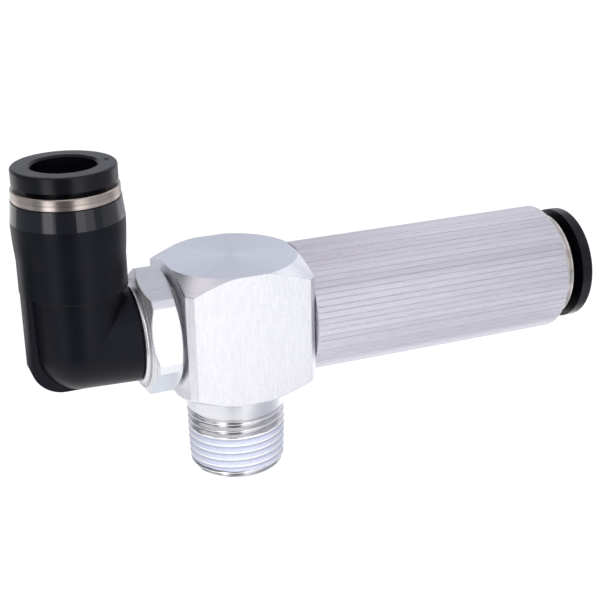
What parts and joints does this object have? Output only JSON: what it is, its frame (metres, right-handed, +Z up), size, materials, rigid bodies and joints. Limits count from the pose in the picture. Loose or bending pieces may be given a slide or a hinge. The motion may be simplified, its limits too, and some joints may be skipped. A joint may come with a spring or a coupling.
{
  "type": "vacuum ejector",
  "caption": "Inline vacuum ejector: swivel elbow push-in supply port, square block with taper-thread vacuum port, ribbed tube with push-in exhaust port.",
  "frame": {"origin": "on the vacuum thread's axis, in the thread's gauge plane", "axes": "+Z up the thread's axis from thread to block, +X along the main axis towards the exhaust port"},
  "size_m": [0.1012, 0.0224, 0.0569],
  "materials": {
    "block_aluminium": "bright milled and turned",
    "tube_aluminium": "satin, straight ribs",
    "stem_metal": "bright turned",
    "thread_sealant": "white baked sealant",
    "nickel_plate": "nickel plated, fine turned lines",
    "spring_steel": "bright sheet",
    "brass": "turned",
    "ivory_resin": "moulded",
    "rubber": "smooth",
    "elbow_resin": "satin moulded with a polished band",
    "release_resin": "satin moulded"
  },
  "bodies": {
    "ejector": {"ejector_block": "block_aluminium", "thread_sealant": "thread_sealant", "hex_stem": "stem_metal", "stem_seal": "rubber", "swivel_seal": "rubber", "retaining_ring": "spring_steel", "nozzle": "brass", "nozzle_seal": "rubber", "diffuser": "ivory_resin", "diffuser_front_seal": "rubber", "diffuser_rear_seal": "rubber", "exhaust_tube": "tube_aluminium", "tube_seal": "rubber", "exhaust_guide_ring": "nickel_plate", "exhaust_lock_claws": "spring_steel", "exhaust_backup_ring": "ivory_resin", "exhaust_elastic_seal": "rubber"},
    "elbow": {"elbow_body": "elbow_resin", "supply_guide_ring": "nickel_plate", "supply_lock_claws": "spring_steel", "supply_backup_ring": "ivory_resin", "supply_elastic_seal": "rubber"},
    "supply_release": {"supply_release_ring": "release_resin"},
    "exhaust_release": {"exhaust_release_ring": "release_resin"}
  },
  "joints": [
    {"name": "elbow_swivel", "type": "hinge", "parent": "ejector", "child": "elbow", "pos_m": [0, 0, 0.02055], "axis": [1, 0, 0], "continuous": true},
    {"name": "supply_release_slide", "type": "slide", "parent": "elbow", "child": "supply_release", "axis": [0, 0, -1], "range_m": [0, 0.00075], "stiffness_N_per_m": 600, "springref_m": -0.0006},
    {"name": "exhaust_release_slide", "type": "slide", "parent": "ejector", "child": "exhaust_release", "axis": [-1, 0, 0], "range_m": [0, 0.00145], "stiffness_N_per_m": 400, "springref_m": -0.0006}
  ]
}
